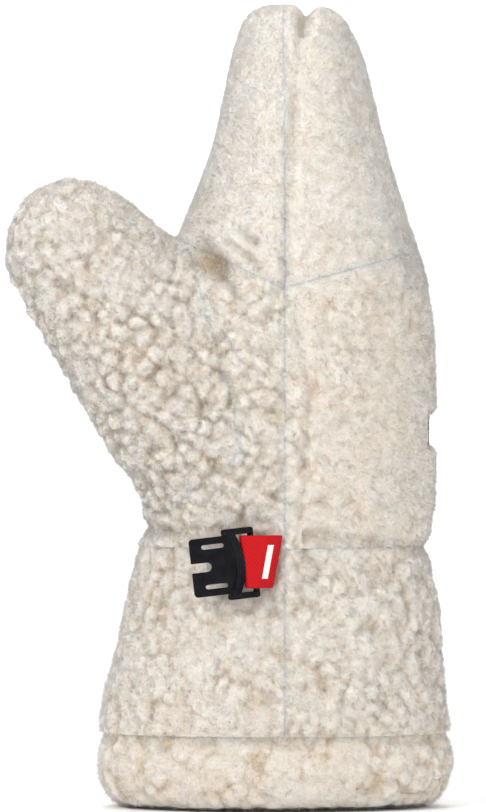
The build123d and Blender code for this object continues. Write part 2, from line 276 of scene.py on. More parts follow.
# Height and inset of the turned-up hem's section
HEM_ROLL = [(46, 15), (30, 15), (14, 15), (7, 14.6), (3, 13), (0.9, 10), (0.1, 6.8), (0.5, 3.4), (2, 1.2)]


def hem_rings():
    """The turned-up hem from inside the cuff, under its roll and up outside."""
    out = []
    for z, inset in HEM_ROLL:
        row = smooth_rows(BODY, np.array([max(z, 5.0)]))[0]
        half = (row[1] - row[0]) / 2 - PILE - inset
        out.append(ellipse_ring(np.array([(row[0] + row[1]) / 2, 0, z + PILE * 0.6]), np.array([1.0, 0, 0]),
                                half, row[2] - PILE - inset))
    return out


def shrunk_height(h, start, end, inset):
    """The outline's height whose ring stands at h once the rounded end is drawn in by inset."""
    return np.where(h > start, start + (h - start) * (end - start) / (end - start - inset), h)


def outline_mesh(name, inset, size, low_rings):
    """Hand and thumb joined to one smooth skin of small faces, drawn in from the fleece's outline."""
    rings = list(low_rings)
    top = BODY[-1][0]
    for z in np.arange(5 if low_rings else HEM_TOP - 6, top - inset + 0.01, 2.5):
        middle, a, b = body_radii(shrunk_height(np.array([z]), CAP_ROUNDS, top, inset))
        centre = np.array([middle[0], 0, z])
        rings.append(ellipse_ring(centre, np.array([1.0, 0, 0]), a[0] - inset, b[0] - inset))
    body = new_object(name, *tube_mesh(rings))
    rings = []
    start, end = THUMB[0][0], THUMB[-1][0]
    for u in np.append(np.arange(start, end - inset, 2.5), end - inset):
        height = shrunk_height(np.array([u]), THUMB_ROUNDS, end, inset)
        half_width, half_depth, y = smooth_rows(THUMB, height)[0]
        centre = THUMB_U * u + THUMB_V * THUMB_OFFSET + np.array([0, y, 0])
        rings.append(ellipse_ring(centre, THUMB_V, max(half_width - PILE - inset, 1.0),
                                  max(half_depth - PILE - inset, 1.0), squareness=2.0))
    thumb = new_object(name + "_thumb", *tube_mesh(rings))
    with editing(body) as bm:
        bm.from_mesh(thumb.data)
    bpy.data.objects.remove(thumb)
    remesh = body.modifiers.new("skin", "REMESH")
    remesh.mode = "VOXEL"
    remesh.voxel_size = size * MM
    return applied(body)


def relax(verts, edges, weight, steps):
    """Laplacian smoothing, as strong at each point as its weight."""
    count = np.bincount(edges.ravel(), minlength=len(verts))[:, None]
    for _ in range(steps):
        total = np.zeros_like(verts)
        for axis in range(3):
            total[:, axis] = (np.bincount(edges[:, 0], verts[edges[:, 1], axis], len(verts))
                              + np.bincount(edges[:, 1], verts[edges[:, 0], axis], len(verts)))
        verts = verts + weight[:, None] * 0.6 * (total / count - verts)
    return verts


def read(collection, name, width, dtype=float):
    out = np.empty(len(collection) * width, dtype)
    collection.foreach_get(name, out)
    return out.reshape(-1, width) if width > 1 else out


def smoothed(obj, steps, joint_steps, reach):
    """Evens out the voxels' steps and rounds the corner between thumb and hand."""
    points = read(obj.data.vertices, "co", 3) / MM
    edges = read(obj.data.edges, "vertices", 2, np.int64)
    points = relax(points, edges, np.ones(len(points)), steps)
    near_joint = (np.exp(-((body_depth(points) + reach[1]) / reach[0]) ** 2)
                  * np.exp(-((thumb_depth(points) + reach[1]) / reach[0]) ** 2) * (points[:, 2] > 60))
    points = relax(points, edges, near_joint, joint_steps)
    obj.data.vertices.foreach_set("co", (points * MM).ravel())
    obj.data.update()
    return obj


skin = smoothed(outline_mesh("outline", 0, COARSE, hem_rings()), 5, 60, (11, 0))
lining_skin = smoothed(outline_mesh("lining_outline", LINING_IN, 3.0, []), 4, 20, (8, LINING_IN))

# -------- lines sewn or folded into the fleece
# X and Z of each line on the thumb edge, the side the camera sees
CAP_SEAM = [(13.2, 324), (10.5, 308), (7.2, 284), (4.8, 250), (2.8, 206)]
GUSSET_BACK = [(2.8, 206), (9.0, 186), (12.6, 164), (11.8, 146), (9.8, 120), (7.0, 105)]
GUSSET_PALM = [(2.8, 206), (-1.6, 203), (-2.6, 193)]
CUFF_SEAM = [(4.0, 104), (-2.0, 92), (-3.0, 60), (-1.6, 29)]
KNUCKLE_CREASE = [(6, 227.5), (20, 226), (46, 228)]
PALM_FOLDS = [[(-19, 224), (-11, 219), (-7, 214)], [(-23, 211), (-16, 204)], [(-14, 229), (-8, 224)]]
HOLLOW = np.array([-26.0, 216.5])
OPENING = [(HINGE[0] + 60, HINGE[2]), (HINGE[0], HINGE[2]), (SEAM_X, OPENING_LOW), (-30, 222), (-62, 236),
           (-120, 236)]
WRIST_LINE = [(-62, 112), (-46, 110.5), (-20, 106), (8, 108.6), (22, 107), (42, 105), (66, 103)]
THUMB_SPLIT_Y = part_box("thumb_rear_panel")[0].y / MM


def line_distance(x, z, line):
    """Distance in the XZ plane to a line of straight runs."""
    best = np.full(len(x), 1e9)
    for (x0, z0), (x1, z1) in zip(line, line[1:]):
        dx, dz = x1 - x0, z1 - z0
        t = np.clip(((x - x0) * dx + (z - z0) * dz) / (dx * dx + dz * dz), 0, 1)
        best = np.minimum(best, np.hypot(x - x0 - t * dx, z - z0 - t * dz))
    return best


def line_height(x, line):
    """Z of the line at each x."""
    order = sorted(line)
    return np.interp(x, [p[0] for p in order], [p[1] for p in order])


REGIONS = ["hem", "cuff_palm", "cuff_back", "hand_palm", "hand_back", "thumb_front", "thumb_rear",
           "cap_palm", "cap_back", "hinge_fold"]


def in_fold(p):
    x, y, z = p.T
    return (x > FOLD_LOW.x) & (abs(y) < FOLD_HIGH.y) & (z > FOLD_LOW.z) & (z < FOLD_HIGH.z)


def is_thumb(p):
    return (thumb_depth(p) < body_depth(p)) & (p @ THUMB_U > 118)


def region_of(p):
    """Which fleece piece each point of the skin belongs to, or -1 for the disc inside the hem."""
    x, y, z = p.T
    above = z > line_height(x, OPENING)
    behind = x > SEAM_X
    out = np.where(above, np.where(behind, 8, 7), np.where(behind, 4, 3))
    out = np.where(z < WRIST, np.where(behind, 2, 1), out)
    out = np.where(in_fold(p), 9, out)
    out = np.where(is_thumb(p), np.where(y < THUMB_SPLIT_Y, 5, 6), out)
    inside = (body_depth(p) < -7) & (z < HEM_TOP + 18)
    out = np.where((z < HEM_TOP) | inside, 0, out)
    return np.where(inside & (z > HEM_TOP - 0.5), -1, out)


def cut_faces(obj, opening_shifts):
    """Cuts the faces along the flip-top opening, the fold and the wrist, so that those edges are clean."""
    bm = bmesh.new()
    bm.from_mesh(obj.data)

    def bisect(point, normal, low, high):
        chosen = []
        for f in bm.faces:
            c = f.calc_center_median() / MM
            if all(lo - 4 < v < hi + 4 for v, lo, hi in zip(c, low, high)):
                chosen.append(f)
        parts = set(chosen)
        for f in chosen:
            parts.update(f.edges)
            parts.update(f.verts)
        bmesh.ops.bisect_plane(bm, geom=list(parts), dist=1e-6, plane_co=Vector(point) * MM,
                               plane_no=Vector(normal))

    for shift in opening_shifts:
        for (x0, z0), (x1, z1) in zip(OPENING[1:], OPENING[2:-1]):
            low, high = (min(x0, x1), -90, 195), (max(x0, x1), 90, 240)
            bisect((x0, 0, z0 + shift), (z1 - z0, 0, x0 - x1), low, high)
    for z in (FOLD_LOW.z, FOLD_HIGH.z):
        bisect((0, 0, z), (0, 0, 1), (FOLD_LOW.x, -34, z - 2), (90, 34, z + 2))
    for y in (FOLD_LOW.y, FOLD_HIGH.y):
        bisect((0, y, 0), (0, 1, 0), (FOLD_LOW.x, y - 2, FOLD_LOW.z), (90, y + 2, FOLD_HIGH.z))
    for z in (HEM_TOP, WRIST):
        bisect((0, 0, z), (0, 0, 1), (-90, -90, z - 2), (90, 90, z + 2))
    bmesh.ops.triangulate(bm, faces=[f for f in bm.faces if len(f.verts) > 4])
    bm.to_mesh(obj.data)
    bm.free()


def hollow_depth(x, z):
    """Depth of the hollow between thumb and hand, as a share of its deepest."""
    dx, dz = x - HOLLOW[0], z - HOLLOW[1]
    along, across = 0.8 * dx - 0.6 * dz, 0.6 * dx + 0.8 * dz
    return np.exp(-((along / 9.0) ** 2 + (across / 5.6) ** 2) ** 1.2)


def seam_drop(p):
    """How far the sewn lines and folds draw the pile in, in mm."""
    x, y, z = p.T
    front = smoothstep(6, -6, y)
    thumb_side = smoothstep(6, -2, thumb_depth(p) - body_depth(p))
    drop = np.zeros(len(p))

    def groove(line, width, depth, where=front):
        np.maximum(drop, depth * np.exp(-(line_distance(x, z, line) / width) ** 2) * where, out=drop)

    groove(CAP_SEAM, 2.6, 2.3)
    groove(CAP_SEAM[:2], 3.0, 4.5, 1.0)
    groove(GUSSET_BACK, 2.0, 1.5)
    groove(GUSSET_PALM, 2.2, 1.7)
    groove(CUFF_SEAM, 2.4, 1.0)
    for fold_line in PALM_FOLDS:
        groove(fold_line, 1.9, 2.0)
    groove([(3.5, 330), (3.5, 28)], 2.2, 2.2, 1 - front)
    groove(KNUCKLE_CREASE, 2.6, 0.9, front * (x > 4))
    groove(OPENING, 1.3, 0.15, 1 - thumb_side)
    wander = soft_noise(p, 14.0, 24)[:, 0]
    hem = np.exp(-((z - HEM_TOP + 1.8 + 1.1 * wander) / 2.6) ** 2)
    drop = np.maximum(drop, (2.0 + 0.9 * wander) * hem)
    pinch = np.exp(-((z - line_height(x, WRIST_LINE) + 1.2 * wander) / 2.9) ** 2)
    strength = np.where(x > 10, 2.8, np.where(x < -36, 2.6, 1.2))
    drop = np.maximum(drop, strength * pinch)
    drop += 7.2 * hollow_depth(x, z) * front
    patch = smoothstep(8.8, 5.5, abs(z - 150.4)) * smoothstep(20, 14, abs(y)) * (x > 20)
    return np.maximum(drop, 4.2 * patch), patch


TUFT, CURL = 6.0, 3.1           # sizes of the tufts and of the curls on them
# Turns the tufts' rows away from the axes
TUFT_TURN = np.array(Matrix.Rotation(radians(40), 3, Vector((0.5, 1.0, 0.3))))


def pile(p):
    """Height of the pile at each point of the skin, in mm, and its painted shade, 0 in a crevice, 1 on a curl.
    """
    x, y, z = p.T
    on_thumb = smoothstep(4, -4, thumb_depth(p) - body_depth(p)) * (p @ THUMB_U > 110)
    cap = smoothstep(200, 232, z) * (1 - on_thumb)
    cuff = smoothstep(112, 96, z)
    back = smoothstep(-8, 26, x) * (1 - cuff) * (1 - cap)
    crotch = np.exp(-(((x + 34) / 36) ** 2 + ((z - 226) / 32) ** 2)) * (1 - 0.4 * on_thumb)
    upper_thumb = on_thumb * smoothstep(205, 250, z + 0.5 * x + 30)
    strength = 1.0 - 0.72 * cap - 0.6 * back - 0.26 * cuff - 0.6 * crotch - 0.3 * upper_thumb
    strength = np.clip(strength, 0.16, 1)
    q = p + soft_noise(p, 9.0, 3) * 2.2 + soft_noise(p, 3.0, 4) * 0.55
    q[:, 2] *= np.where(z < WRIST, 0.85, 1.0)
    q = q @ TUFT_TURN
    _, rounded, gap, random = tufts(q, TUFT, 11)
    parted = smoothstep(-0.9, 0.5, soft_noise(p, 9.0, 21)[:, 0] + 0.9 * (strength - 0.6))
    dome = 1 - (np.clip(rounded + 0.06, 0, 0.9) / 0.62) ** 2
    lift = (random[:, 0] - 0.5) * smoothstep(0, 0.5, gap)
    near2, _, gap2, random2 = tufts(q + 40, CURL, 12)
    small = (1 - np.clip(near2 / 0.9, 0, 1.1) ** 2) + 0.5 * (random2[:, 0] - 0.5) * smoothstep(0, 0.3, gap2)
    fine = soft_noise(p, 1.5, 6)[:, 0] + 0.7 * soft_noise(p, 0.9, 7)[:, 0]
    height = strength * (1.75 * (dome - 0.5) * (0.25 + 0.75 * parted) + 1.1 * lift)
    height += (0.16 + 0.12 * strength) * (small - 0.6) + 0.14 * fine
    broad = soft_noise(p, 26.0, 8)[:, 0] * 0.7 + soft_noise(p, 12.0, 9)[:, 0] * 0.4
    drop, patch = seam_drop(p)
    flat = np.clip(drop / 3.0, 0, 1)
    height = (height * (1 - 0.35 * flat) + broad) * (1 - patch) - drop + seam_mound(p)
    # Painted shade: darker down in the valleys and crevices between the tufts and curls, deeper where the
    # noise says.
    deep = smoothstep(-0.35, 0.75, soft_noise(p, 7.0, 25)[:, 0])
    dark = 0.36 * smoothstep(0.75, -0.35, dome) * parted ** 1.5 * (0.45 + 0.55 * deep)
    dark += 0.10 * np.exp(-(gap / 0.2) ** 2) * parted
    dark = dark * np.clip(strength * 1.25, 0, 1) + 0.04 * np.exp(-(gap2 / 0.3) ** 2)
    # Painted shade: a little everywhere, more on the back of the hand and towards the bottom of the cuff and
    # hem.
    dark += 0.02 + 0.10 * back + 0.11 * cuff * smoothstep(40, 20, z)
    stain = smoothstep(0.1, 0.9, soft_noise(p, 5.0, 22)[:, 0]) * (0.10 + 0.02 * cap + 0.05 * back)
    # Painted shade in the hollow between thumb and hand, on the front.
    hollow = hollow_depth(x, z) * (y < 0)
    # Painted shade in the grooves where the pile is drawn in at seams, folds, hem, wrist and patch.
    groove_shade = 0.18 * flat * smoothstep(-0.5, 0.6, soft_noise(p, 9.0, 23)[:, 0])
    shade = 0.96 + 0.05 * fine - dark - stain - groove_shade * (1 - hollow) - 0.72 * hollow ** 1.5
    return height, np.clip(shade, 0, 1)


def seam_mound(p):
    """The fleece swells round the seam where the webbing is sewn in."""
    x, y, z = p.T
    return 5.0 * np.exp(-((x - 4.5) / 7.0) ** 2 - ((z - LOOP[2]) / 13) ** 4) * smoothstep(0, -20, y)


# -------- panels cut from a skin
def panel(name, source, chosen, wall, cuts, room_way=0, open_hem=False):
    """One closed panel: its fine outside, a plain inner face and the rim between.

    Returns the object, which of its points are outside, and each point's way out."""
    points = read(source.data.vertices, "co", 3) / MM
    normals = read(source.data.vertices, "normal", 3)
    faces = [tuple(source.data.polygons[i].vertices) for i in chosen]
    used = np.unique(np.concatenate([np.array(f) for f in faces]))
    local = {v: i for i, v in enumerate(used)}
    faces = [tuple(local[v] for v in f) for f in faces]
    p, n = points[used], normals[used]
    directed = {(f[i], f[(i + 1) % len(f)]) for f in faces for i in range(len(f))}
    rim = sorted((a, b) for a, b in directed if (b, a) not in directed)
    bm = bmesh.new()
    way = bm.verts.layers.float_vector.new("way")
    outside = bm.verts.layers.int.new("outside")
    shell = [bm.verts.new(tuple(v)) for v in p]
    for vert, direction in zip(shell, n):
        vert[way] = Vector(direction)
        vert[outside] = 1
    top = [bm.faces.new([shell[i] for i in f]) for f in faces]
    if not open_hem:
        under = p - wall * n
        under[:, 2] += room_way * make_room(p)
        inner = [bm.verts.new(tuple(v)) for v in under]
        for vert, direction in zip(inner, n):
            vert[way] = Vector(direction)
        for f in faces:
            bm.faces.new([inner[i] for i in reversed(f)])
        for a, b in rim:
            bm.faces.new([shell[b], shell[a], inner[a], inner[b]])
    else:
        top = [f for f in top if body_depth(np.array([tuple(f.calc_center_median())]))[0] > -9]
    if cuts:
        bmesh.ops.subdivide_edges(bm, edges=list({e for f in top for e in f.edges}), cuts=cuts,
                                  use_grid_fill=True)
    if open_hem:
        bmesh.ops.triangulate(bm, faces=[f for f in bm.faces if len(f.verts) > 4])
        bmesh.ops.bridge_loops(bm, edges=[e for e in bm.edges if e.is_boundary])
    bmesh.ops.triangulate(bm, faces=[f for f in bm.faces if len(f.verts) > 4])
    marks = np.array([v[outside] for v in bm.verts]) > 0
    ways = np.array([tuple(v[way]) for v in bm.verts])
    mesh = bpy.data.meshes.new(name)
    bm.to_mesh(mesh)
    bm.free()
    obj = linked(name, mesh)
    length = np.linalg.norm(ways, axis=1)[:, None]
    return obj, marks, ways / np.where(length > 0, length, 1)


def opening_gap(p):
    return p[:, 2] - line_height(p[:, 0], OPENING)


def make_room(p):
    """How far a panel's inner edge is drawn back from the opening, for the opening's binding."""
    return RIM_ROOM * (abs(opening_gap(p)) < 0.3)


RIM_ROOM = 2.2
# The way that each panel's inner edge is drawn back, and the bodies; the fold has no body
ROOM_WAY = {"hand_palm": -1, "hand_back": -1, "cap_palm": 1, "cap_back": 1}
BODY_OF = {region: "cap" if region.startswith("cap") else "mitten" for region in REGIONS}
BODY_OF["hinge_fold"] = None


def finished(obj, material, *more):
    """Smooth shading and the piece's materials."""
    for one in (material, *more):
        obj.data.materials.append(one)
    obj.data.shade_smooth()
    return obj


def bend_with_cap(obj):
    """Bakes the piece's transform into its mesh; it rides on no body."""
    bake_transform(obj)


def placed(obj, body, replaced=None):
    """Puts the piece on its body, or bakes it in place without one, and hides the CAD node that it stands for.
    """
    if body:
        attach(obj, body)
    else:
        bend_with_cap(obj)
    if replaced:
        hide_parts(replaced)


def crisp_rim(obj):
    """Keeps the shading of the pile apart from that of the rim where two materials meet."""
    with editing(obj) as bm:
        for edge in bm.edges:
            if len({f.material_index for f in edge.link_faces}) > 1:
                edge.smooth = False


def centres_of(obj):
    return read(obj.data.polygons, "center", 3) / MM


# -------- materials
def new_material(name, roughness=0.5, specular=0.5):
    mat = bpy.data.materials.new(name)
    mat.use_nodes = True
    shader = mat.node_tree.nodes["Principled BSDF"]
    shader.inputs["Roughness"].default_value = roughness
    shader.inputs["Specular IOR Level"].default_value = specular
    return mat, mat.node_tree, shader


def node(tree, kind, **values):
    made = tree.nodes.new(kind)
    for key, value in values.items():
        if key in made.inputs:
            made.inputs[key].default_value = value
        else:
            setattr(made, key, value)
    return made


def shade_of(tree):
    """The shade that is stored in the piece's points."""
    return node(tree, "ShaderNodeAttribute", attribute_name="shade").outputs["Fac"]


def maths(tree, operation, *values):
    """The operation on numbers and on other nodes' outputs."""
    made = node(tree, "ShaderNodeMath", operation=operation)
    for socket, value in zip(made.inputs, values):
        if isinstance(value, float):
            socket.default_value = value
        else:
            tree.links.new(value, socket)
    return made.outputs[0]


def ramp(tree, value, *stops):
    """The colour, between the stops, that the value picks."""
    made = node(tree, "ShaderNodeValToRGB")
    tree.links.new(value, made.inputs["Fac"])
    steps = made.color_ramp.elements
    while len(steps) < len(stops):
        steps.new(0.5)
    for step, (place, colour) in zip(steps, stops):
        step.position = place
        step.color = (*colour, 1)
    return made.outputs["Color"]


def noise(tree, size, detail=3.0, stretch=(1, 1, 1)):
    """Noise with features of the given size in mm, fixed to the piece."""
    place = node(tree, "ShaderNodeTexCoord")
    scaled = node(tree, "ShaderNodeMapping", Scale=stretch)
    made = node(tree, "ShaderNodeTexNoise", Scale=1 / (size * MM), Detail=detail)
    tree.links.new(place.outputs["Object"], scaled.inputs["Vector"])
    tree.links.new(scaled.outputs["Vector"], made.inputs["Vector"])
    return made.outputs["Fac"]


def multiplied(tree, first, second):
    """The product of two colours."""
    made = node(tree, "ShaderNodeMix", data_type="RGBA", blend_type="MULTIPLY")
    made.inputs[0].default_value = 1.0
    tree.links.new(first, made.inputs[6])
    tree.links.new(second, made.inputs[7])
    return made.outputs[2]


def bump(tree, height, shader, distance, strength=1.0):
    made = node(tree, "ShaderNodeBump", Distance=distance * MM, Strength=strength)
    tree.links.new(height, made.inputs["Height"])
    tree.links.new(made.outputs["Normal"], shader.inputs["Normal"])


def fleece_material():
    """Cream curled pile, finely fibrous: the stored painted shade makes it beige down in the crevices and near
    white on the curls.
    """
    mat, tree, shader = new_material("sherpa_fleece", 0.95, 0.05)
    fibres, curls, blotch = noise(tree, 0.42, 5.0), noise(tree, 1.3), noise(tree, 16.0, 2.0)
    grain = maths(tree, "SUBTRACT", fibres, 0.5)
    # The colour follows the painted shade, with the fibres' grain over it.
    mottled = maths(tree, "MULTIPLY_ADD", grain, 1.1, shade_of(tree))
    colour = ramp(tree, mottled, (0.0, (0.38, 0.27, 0.17)), (0.30, (0.68, 0.555, 0.41)),
                  (0.58, (0.80, 0.725, 0.625)), (0.85, (0.85, 0.805, 0.74)), (1.0, (0.875, 0.845, 0.80)))
    warmth = ramp(tree, blotch, (0.3, (0.98, 0.955, 0.925)), (0.7, (1, 1, 1)))
    tree.links.new(multiplied(tree, colour, warmth), shader.inputs["Base Color"])
    shader.inputs["Subsurface Weight"].default_value = 0.6
    shader.inputs["Subsurface Radius"].default_value = (1.0, 0.72, 0.5)
    shader.inputs["Subsurface Scale"].default_value = 3.0 * MM
    bump(tree, maths(tree, "ADD", fibres, curls), shader, 0.75)
    return mat


def cloth_material(name, light, dark, size, distance, stretch=(1, 1, 1)):
    """A plain knitted or brushed cloth, mottled between two tones."""
    mat, tree, shader = new_material(name, 0.9, 0.15)
    grain = noise(tree, size, stretch=stretch)
    tree.links.new(ramp(tree, grain, (0.3, dark), (0.7, light)), shader.inputs["Base Color"])
    shader.inputs["Sheen Weight"].default_value = 0.15
    bump(tree, grain, shader, distance)
    return mat


def webbing_material():
    """Red twill: painted shade darkens it between the modelled ribs, with a fine thread grain."""
    mat, tree, shader = new_material("red_webbing", 0.62, 0.18)
    # Painted shade: darker red between the twill's ribs, lighter on them.
    tone = ramp(tree, shade_of(tree), (0.0, (0.22, 0.001, 0.003)), (0.45, (0.52, 0.002, 0.006)),
                (1.0, (0.74, 0.006, 0.010)))
    grain = noise(tree, 0.22)
    speckle = ramp(tree, grain, (0.3, (0.8, 0.78, 0.78)), (0.7, (1, 1, 1)))
    tree.links.new(multiplied(tree, tone, speckle), shader.inputs["Base Color"])
    bump(tree, grain, shader, 0.12)
    return mat


def plastic_material():
    """Black moulded plastic, satin, with a faint moulding texture and a mottled tone and gloss."""
    mat, tree, shader = new_material("black_plastic", specular=0.11)
    scuffs = noise(tree, 3.0, 4.0)
    tone = ramp(tree, scuffs, (0.35, (0.005, 0.005, 0.007)), (0.75, (0.010, 0.010, 0.012)))
    gloss = ramp(tree, scuffs, (0.35, (0.13, 0.13, 0.13)), (0.7, (0.20, 0.20, 0.20)))
    tree.links.new(tone, shader.inputs["Base Color"])
    tree.links.new(gloss, shader.inputs["Roughness"])
    bump(tree, noise(tree, 0.35), shader, 0.02, 0.5)
    return mat


fleece = fleece_material()
backing = cloth_material("fleece_backing", (0.80, 0.74, 0.64), (0.66, 0.59, 0.48), 0.9, 0.25)
lining_cloth = cloth_material("lining_fleece", (0.78, 0.72, 0.62), (0.62, 0.55, 0.45), 1.6, 0.5)
rib_knit = cloth_material("rib_knit", (0.74, 0.68, 0.58), (0.58, 0.52, 0.42), 0.7, 0.2, stretch=(1, 1, 0.35))
tape = cloth_material("binding_tape", (0.72, 0.66, 0.55), (0.60, 0.54, 0.43), 0.45, 0.12)
elastic_cloth = cloth_material("elastic", (0.82, 0.81, 0.78), (0.66, 0.65, 0.62), 0.5, 0.15)
patch_cloth = cloth_material("grey_patch", (0.085, 0.085, 0.092), (0.035, 0.035, 0.04), 0.45, 0.15)
thread = cloth_material("patch_thread", (0.20, 0.20, 0.21), (0.12, 0.12, 0.13), 0.2, 0.05)
label_cloth = cloth_material("white_label", (0.90, 0.88, 0.86), (0.74, 0.72, 0.70), 0.3, 0.08)
webbing = webbing_material()
plastic = plastic_material()

# -------- fleece
cut_faces(skin, [0])
regions = region_of(centres_of(skin))
for index, region in enumerate(REGIONS):
    name, body = "fleece_" + region, BODY_OF[region]
    replaced = {"hem": "hem_band", "hinge_fold": "hinge_fold"}.get(region, region + "_panel")
    wall = FOLD_WALL if region == "hinge_fold" else WALL
    obj, marks, ways = panel(name, skin, np.flatnonzero(regions == index), wall, CUTS,
                             ROOM_WAY.get(region, 0), region == "hem")
    p = read(obj.data.vertices, "co", 3)
    shade = np.full(len(p), 0.5)
    height, shade[marks] = pile(p[marks])
    if region == "hem":
        outward = smoothstep(-9.5, -4, body_depth(p[marks]))
        height = np.where(p[marks][:, 2] < 6, height * 0.5, height) * outward
    p[marks] += ways[marks] * (PILE * (region != "hem") + height)[:, None]
    p[:, 2] = np.maximum(p[:, 2], 0.05)
    obj.data.vertices.foreach_set("co", (p * MM).ravel())
    obj.data.attributes.new("shade", "FLOAT", "POINT").data.foreach_set("value", shade)
    finished(obj, fleece, backing)
    outer_face = np.array([all(marks[v] for v in f.vertices) for f in obj.data.polygons])
    obj.data.polygons.foreach_set("material_index", np.where(outer_face, 0, 1).astype(np.int32))
    crisp_rim(obj)
    placed(obj, body, replaced)
bpy.data.objects.remove(skin)

# -------- linings
EDGE_ROOM = 2.7
cut_faces(lining_skin, [-EDGE_ROOM, EDGE_ROOM])
centre = centres_of(lining_skin)
gap = opening_gap(centre)
on_thumb = is_thumb(centre)
kept = (centre[:, 2] > HEM_TOP) & ~in_fold(centre)
for name, body, replaced, chosen in (
        ("soft_cuff_lining", "mitten", "cuff_lining", kept & (centre[:, 2] < WRIST)),
        ("soft_hand_lining", "mitten", "hand_lining",
         kept & (centre[:, 2] > WRIST) & (gap < -EDGE_ROOM) & ~on_thumb),
        ("soft_thumb_lining", "mitten", "thumb_lining", kept & on_thumb),
        ("soft_cap_lining", "cap", "cap_lining", kept & (gap > EDGE_ROOM) & ~on_thumb)):
    obj, marks, ways = panel(name, lining_skin, np.flatnonzero(chosen), LINING_WALL, 0)
    p = read(obj.data.vertices, "co", 3)
    p[~marks] += ways[~marks] * (0.35 * soft_noise(p[~marks], 5.0, 31)[:, :1])
    obj.data.vertices.foreach_set("co", (p * MM).ravel())
    placed(finished(obj, lining_cloth), body, replaced)
bpy.data.objects.remove(lining_skin)


# -------- strips and rings swept round the hand
def ring_point(angle, z, inset):
    """Points round the hand at the given inset from the fleece's outline."""
    middle, a, b = body_radii(z)
    x, y = superellipse(angle, a - inset, b - inset)
    return np.stack([middle + x, y, z], axis=-1)


def swept(name, rows, closed):
    """A closed skin over cross-sections of equally many points, capped at both ends if not a ring."""
    count, size = len(rows), len(rows[0])
    verts = rows.reshape(-1, 3)
    faces = []
    for i in range(count if closed else count - 1):
        j = (i + 1) % count
        for k in range(size):
            n = (k + 1) % size
            faces.append((i * size + k, i * size + n, j * size + n, j * size + k))
    if not closed:
        faces.append(tuple(range(size - 1, -1, -1)))
        faces.append(tuple((count - 1) * size + k for k in range(size)))
    obj = new_object(name, verts, faces)
    with editing(obj) as bm:
        bmesh.ops.recalc_face_normals(bm, faces=bm.faces)
    return obj


# Inset from the outline and distance from the opening, round the binding's section
BINDING = [(9.2, 0.15), (12.5, 0.12), (15.9, 0.15), (16.5, 0.6), (16.6, 1.4), (16.2, 2.2), (15.4, 2.5),
           (12.9, 2.45), (12.2, 1.95), (9.2, 1.25)]
start_angle = np.arcsin(((FOLD_HIGH.y + 1) / (body_radii(np.array([HINGE[2]]))[2][0])) ** (SQUARENESS / 2))
for name, body, replaced, side in (("tape_hand_edge", "mitten", "hand_edge_binding", -1),
                                   ("tape_cap_edge", "cap", "cap_edge_binding", 1)):
    angle = np.linspace(start_angle, 2 * pi - start_angle, 420)
    rows = np.zeros((len(angle), len(BINDING), 3))
    for k, (inset, away) in enumerate(BINDING):
        z = np.full(len(angle), OPENING_LOW + 8)
        for _ in range(12):
            z = line_height(ring_point(angle, z, inset)[:, 0], OPENING)
        rows[:, k] = ring_point(angle, z, inset)
        rows[:, k, 2] += side * away
    placed(finished(swept(name, rows, False), tape), body, replaced)


def knit_ring(name, low, high, ribs, depth, count, levels):
    """A ribbed band between two levels, each given by height, inset and wall."""
    angle = np.linspace(0, 2 * pi, count, endpoint=False)
    around = []
    for side in (0, 1):
        for t in (np.linspace(0, 1, levels) if side == 0 else np.linspace(1, 0, levels)):
            z = low[0] + t * (high[0] - low[0])
            inset = low[1] + t * (high[1] - low[1]) + side * low[2]
            rounding = 0.5 * low[2] * (1 - np.sqrt(np.clip(1 - abs(2 * t - 1) ** 24, 0, 1)))
            inset += rounding if side == 0 else -rounding
            wave = depth * (0.5 + 0.5 * np.cos(ribs * angle)) ** 0.7
            inset = inset + (wave if side == 0 else -wave)
            around.append(ring_point(angle, np.full(count, z), inset))
    return swept(name, np.stack(around, axis=1), True)


# Node it replaces, inset at the bottom and top, wall, number of ribs and their depth, points and levels
for name, replaced, insets, wall, ribs, depth, count, levels, cloth, slot in (
        ("knit_collar", "knuckle_collar", (17.2, 18.6), 2.4, 104, 0.55, 1040, 14, rib_knit, "rib_knit"),
        ("woven_elastic", "wrist_elastic", (12.15, 12.15), 0.95, 150, 0.12, 900, 8, elastic_cloth, "elastic")):
    low, high = ((corner / MM).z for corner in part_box(replaced))
    obj = knit_ring(name, (low, insets[0], wall), (high, insets[1], wall), ribs, depth, count, levels)
    placed(finished(obj, cloth), "mitten", replaced)

# -------- loose fibres standing out of the pile
FIBRES = 48000                  # on one piece at most
DENSITY = 4.5                   # fibres to a square millimetre
# Length of the shortest fibres, in mm, for the start of each panel's name
SHORTEST = {"hem": 0.9, "cuff": 0.9, "hand": 1.0, "thumb": 1.0, "cap": 0.8, "hinge": 0.9}


